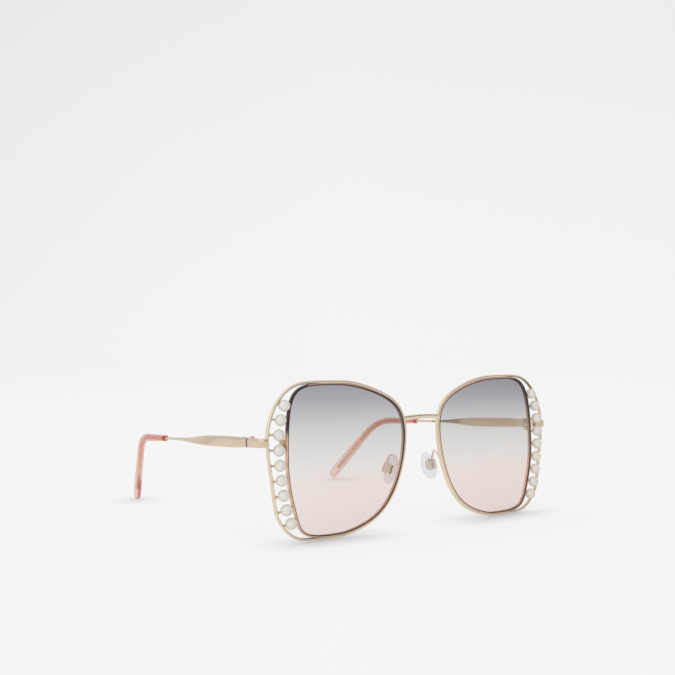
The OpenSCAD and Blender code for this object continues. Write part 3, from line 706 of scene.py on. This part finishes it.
def temple_tip(sx):
    def up(s):
        k = smooth((s - B_AT) / B_LEN)
        return [0.12 * k, 0.2 * k, 1]

    rows, along = [], []
    bore = [(s, 0.82) for s in np.linspace(CORE_END + 0.3, TIP_AT + 1.5, 90)] + [(TIP_AT + 1.35, 1.0), (TIP_AT + 0.2, 1.0), (TIP_AT, 1.02)]
    for s, r in bore:
        rows.append(place(sect(r, r, 2, 32), t_pos(s), t_dir(s), up(s)))
        along.append((s - TIP_AT) / (T_LEN - TIP_AT))
    out = np.concatenate([TIP_AT + np.array([0, 0.05, 0.15, 0.3, 0.5]), np.linspace(TIP_AT + 1, T_LEN - 3.2, 100), T_LEN - np.array([2.7, 2.2, 1.7, 1.3, 0.9, 0.6, 0.35, 0.18, 0.06, 0])])
    for s in out:
        hh, tt = tip_size(s)
        rows.append(place(sect(hh, tt, 2.4, 32), t_pos(s), t_dir(s), up(s)))
        along.append((s - TIP_AT) / (T_LEN - TIP_AT))
    V, F = run(np.array(rows))
    at_ = np.repeat(along, 32).tolist() + [along[0], along[-1]]
    q = 2 * math.pi * (np.arange(32) + 0.5) / 32
    # painted deep red: the lower edge of the right sleeve (faint on the left) near its end as a painted internal
    # reflection, and the sleeve's mouth as painted shade
    low = np.tile(smooth((-0.85 * np.cos(q) - 0.5 * np.sin(q) - 0.3) / 0.5), len(rows))
    low = np.concatenate([low, [0.5, 0.5]]) * (1 if sx < 0 else 0.15) * smooth((np.array(at_) - 0.74) / 0.1) * (1 - smooth((np.array(at_) - 0.955) / 0.04))
    low = np.maximum(low, 1 - smooth(np.abs(np.array(at_)) / 0.035))
    return put(side_name(sx) + "temple_tip_sleeve", lifted(V, sx), F, sx, body_side(sx), TIP, side_name(sx) + "temple_tip", attrs={"along": at_, "painted_deep_red": low}, sharp=50)


def pad_arm(sx):
    a = at(6.96, EYE_W * 0.5, EYE_D - 0.35)
    e = pad_at([0, 1.25, 1.4])
    Q = np.array([a - [0, 2, 0], a, a + [-0.1, 1.2, 0.9], a + [-0.1, 2.8, 3.0], [a[0] - 0.1, a[1] + 4.7, e[2] + 4.6],
                  e + [-0.5, -1.0, 3.2], e, e - [0, 0, 2]])
    rows = []
    for i in range(90):
        t = 1 + 4.999 * i / 89
        rows.append(place(sect(0.5, 0.5, 2, 24), spl(Q, t), spl(Q, t + 0.01) - spl(Q, t - 0.01), [1, 0, 0]))
    V, F = run(np.array(rows))
    return put(side_name(sx) + "pad_arm_wire", V, F, sx, "front", PAD_GOLD, side_name(sx) + "pad_arm", sharp=50)


def nose_pad(sx):
    b = -0.75
    f = b - 2.2
    prof = catmull([(0.82, b), (0.94, b - 0.25), (1.0, b - 0.8), (0.96, f + 0.75), (0.8, f + 0.25), (0.45, f)], 26)
    prof = [(0.06, b), (0.3, b), (0.6, b), (0.76, b)] + [tuple(p) for p in prof] + [(0.3, f), (0.12, f)]
    q = 2 * math.pi * np.arange(64) / 64
    rows = []
    for k, y in prof:
        k = min(k, 1.0)
        y = min(max(y, f), b)
        rows.append([pad_at([k * 3.7 * math.cos(a) * (1 - 0.16 * math.sin(a)), y, k * 6.0 * math.sin(a) + 0.1]) for a in q])
    V, F = run(np.array(rows))
    return put(side_name(sx) + "nose_pad_soft", V, F, sx, "left_pad" if sx > 0 else "right_pad", PAD, side_name(sx) + "nose_pad", sharp=60)


for sx in (1, -1):
    eyewire(sx)
    outer_wire(sx)
    lens(sx)
    pearls(sx)
    pearl_pins(sx)
    end_piece(sx)
    temple_arm(sx)
    core_wire(sx)
    temple_tip(sx)
    pad_arm(sx)
    nose_pad(sx)
bridge()

# CAD nodes that stay: welded, with softened edges and worked metal
KEEP = {"closing_block": HINGE, "rim_screw": SCREW, "front_hinge": HINGE, "hinge_screw": SCREW, "pad_box": PAD_GOLD, "pad_screw": SCREW,
        "pad_insert": SCREW, "temple_hinge": HINGE}
for s in ("left_", "right_"):
    for key, mat in KEEP.items():
        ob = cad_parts[s + key]
        ob.data.materials.clear()
        ob.data.materials.append(mat)
        w = ob.modifiers.new("weld", "WELD")
        w.merge_threshold = 2e-6
        bv = ob.modifiers.new("soft_edges", "BEVEL")
        bv.width = 0.00028 if key == "pad_box" else 0.00009
        bv.segments = 2
        bv.limit_method = "ANGLE"
        bv.angle_limit = math.radians(40)
        bv.use_clamp_overlap = True

# ------------------------------------------------------------------ stage: pale floor, partly glowing with painted light and painted contact shadows; studio light
scene = bpy.context.scene


def floor():
    n, size = 24, 60.0
    V, F = [], []
    for i in range(n + 1):
        for j in range(n + 1):
            V.append((-size + 2 * size * i / n, -size + 2 * size * j / n, 0.0))
    for i in range(n):
        for j in range(n):
            a = i * (n + 1) + j
            F.append((a, a + n + 1, a + n + 2, a + 1))
    me = bpy.data.meshes.new("floor")
    me.from_pydata(V, [], F)
    ob = bpy.data.objects.new("floor", me)
    scene.collection.objects.link(ob)
    m, t = new_mat("pale_floor")
    g = N(t)
    co = g("ShaderNodeTexCoord").outputs["Object"]
    no = g("ShaderNodeTexNoise", {"Vector": co, "Scale": 3.0, "Detail": 2.0}).outputs["Fac"]
    col = g.mix(no, (0.905, 0.905, 0.905), (0.912, 0.912, 0.912))
    far = g("ShaderNodeVectorMath", {0: co}, operation="LENGTH").outputs["Value"]
    far = g("ShaderNodeMapRange", {"Value": far, "From Min": 0.35, "From Max": 2.0}, interpolation_type="SMOOTHSTEP").outputs["Result"]
    # painted contact shadows: ambient occlusion darkens both the floor's colour and its glow near the frame
    near = g("ShaderNodeAmbientOcclusion", {"Distance": 0.014}, samples=16).outputs["AO"]
    painted_contact_shadow = g.math("SUBTRACT", 1.0, g.math("MULTIPLY", g.math("SUBTRACT", 1.0, near), 0.55))
    # the floor glows though it is no lamp: painted light, brighter near the object (a painted pool of light) and fading
    # to the backdrop's tone far off
    painted_floor_light = g.mix(far, (0.948, 0.948, 0.948), (0.905, 0.905, 0.905))
    across = g("ShaderNodeSeparateXYZ", {"Vector": g("ShaderNodeTexCoord").outputs["Window"]}).outputs["X"]
    # darker towards the left edge of the frame: painted light falloff
    side = g.ramp(across, [(0.0, (0.962, 0.962, 0.962)), (0.25, (0.985, 0.985, 0.985)), (0.5, (1, 1, 1)), (1.0, (0.99, 0.99, 0.99))])
    painted_floor_light = g.mix(g.math("MULTIPLY_ADD", far, 0.6, 0.4), painted_floor_light, g.mix(1.0, painted_floor_light, side, "MULTIPLY"))
    painted_floor_light = g.mix(1.0, painted_floor_light, painted_contact_shadow, "MULTIPLY")
    e = g("ShaderNodeEmission", {"Color": painted_floor_light})
    d = g("ShaderNodeBsdfDiffuse", {"Color": g.mix(1.0, col, painted_contact_shadow, "MULTIPLY")})
    # mostly glow: 65 % near the object, all of it far off; the rest is diffuse, lit by the lamps
    mx = g("ShaderNodeMixShader", {"Fac": g.math("MULTIPLY_ADD", far, 0.35, 0.65)})
    t.links.new(d.outputs[0], mx.inputs[1])
    t.links.new(e.outputs[0], mx.inputs[2])
    g.out(mx.outputs[0])
    me.materials.append(m)


floor()


def area(name, loc, target, size, power, colour=(1, 1, 1)):
    l = bpy.data.lights.new(name, "AREA")
    l.shape = "RECTANGLE"
    l.size, l.size_y = size
    l.energy = power
    l.color = colour
    o = bpy.data.objects.new(name, l)
    scene.collection.objects.link(o)
    o.location = loc
    o.rotation_euler = (Vector(target) - Vector(loc)).to_track_quat("-Z", "Y").to_euler()
    return o


area("key_overhead", (-0.3, 0.1, 1.5), (0, 0.02, 0), (1.6, 1.6), 2.2)
area("fill_left", (-1.3, 0.5, 0.7), (0, 0, 0.03), (1.0, 1.0), 1.2, (1.0, 0.98, 0.95))

world = bpy.data.worlds.new("studio")
scene.world = world
world.use_nodes = True
wt = world.node_tree
for n in list(wt.nodes):
    wt.nodes.remove(n)
g = N(wt)
gen = g("ShaderNodeTexCoord").outputs["Generated"]
xyz = g("ShaderNodeSeparateXYZ", {"Vector": gen})
X, Y, Z = xyz.outputs
# what the camera sees above the horizon: almost white, a touch darker upwards
cam_col = g.ramp(g.math("MULTIPLY", Z, 2.5, clamp=True), [(0.0, srgb(244, 244, 244)), (0.14, srgb(243, 243, 243)), (0.42, srgb(241, 241, 241)), (0.72, srgb(238, 238, 238)), (1.0, srgb(235, 235, 235))])
# darker towards the left edge of the frame: painted light falloff across the backdrop
across = g("ShaderNodeSeparateXYZ", {"Vector": g("ShaderNodeTexCoord").outputs["Window"]}).outputs["X"]
cam_col = g.mix(1.0, cam_col, g.ramp(across, [(0.0, (0.962, 0.962, 0.962)), (0.25, (0.985, 0.985, 0.985)), (0.5, (1, 1, 1)), (1.0, (0.99, 0.99, 0.99))]), "MULTIPLY")
# what lights the object: a white room with soft boxes left and right, dim behind the front faces' mirror line


def towards(x, y, a, b):
    d = g.math("ADD", g.math("MULTIPLY", X, x), g.math("MULTIPLY", Y, y))
    n = g("ShaderNodeMapRange", {"Value": d, "From Min": a, "From Max": b}, interpolation_type="SMOOTHSTEP", clamp=True)
    return n.outputs["Result"]


room = g.ramp(g.math("MULTIPLY_ADD", Z, 0.5, 0.5, clamp=True), [(0.0, (0.9, 0.9, 0.9)), (0.49, (0.80, 0.80, 0.80)), (0.53, (0.72, 0.72, 0.73)), (0.7, (0.90, 0.90, 0.91)), (1.0, (0.88, 0.88, 0.88))])
room = g.mix(towards(-0.95, -0.31, 0.72, 0.95), room, g.ramp(Z, [(0.0, (1.75, 1.73, 1.68)), (0.04, (1.1, 1.09, 1.06)), (0.22, (1.15, 1.14, 1.12)), (0.4, (1.6, 1.58, 1.54))]))
room = g.mix(towards(0.98, 0.2, 0.72, 0.95), room, (1.6, 1.58, 1.54))
room = g.mix(g.math("MULTIPLY", towards(0.6, -0.8, 0.82, 0.95), 0.85), room, (0.10, 0.10, 0.11))
cam = g("ShaderNodeLightPath").outputs["Is Camera Ray"]
bg1 = g("ShaderNodeBackground", {"Color": room, "Strength": 0.95})
bg2 = g("ShaderNodeBackground", {"Color": cam_col, "Strength": 1.0})
mx = g("ShaderNodeMixShader", {"Fac": cam})
wt.links.new(bg1.outputs[0], mx.inputs[1])
wt.links.new(bg2.outputs[0], mx.inputs[2])
wo = wt.nodes.new("ShaderNodeOutputWorld")
wt.links.new(mx.outputs[0], wo.inputs["Surface"])

scene.view_settings.view_transform = "Standard"
scene.view_settings.look = "None"
scene.view_settings.exposure = 0.0
scene.view_settings.gamma = 1.0

# ------------------------------------------------------------------ camera
lo, hi = (Vector(v) for v in CAD_BOX)
foot = Vector(((lo.x + hi.x) / 2, (lo.y + hi.y) / 2, lo.z))
az, el, roll, fpx = -0.6429975, 0.0061479, 0.0007976, 1100.67
back = Vector((math.sin(az) * math.cos(el), -math.cos(az) * math.cos(el), math.sin(el)))
right = Vector((math.cos(az), math.sin(az), 0))
upv = back.cross(right)
right, upv = right * math.cos(roll) + upv * math.sin(roll), upv * math.cos(roll) - right * math.sin(roll)
cam_data = bpy.data.cameras.new("camera")
cam_data.sensor_width = 36
cam_data.lens = fpx / 675 * 36
cam_data.clip_start = 0.01
cam_ob = bpy.data.objects.new("camera", cam_data)
scene.collection.objects.link(cam_ob)
M = Matrix((right, upv, back)).transposed().to_4x4()
M.translation = foot + Vector((-0.293647, -0.404121, 0.079321))
cam_ob.matrix_world = M
scene.camera = cam_ob
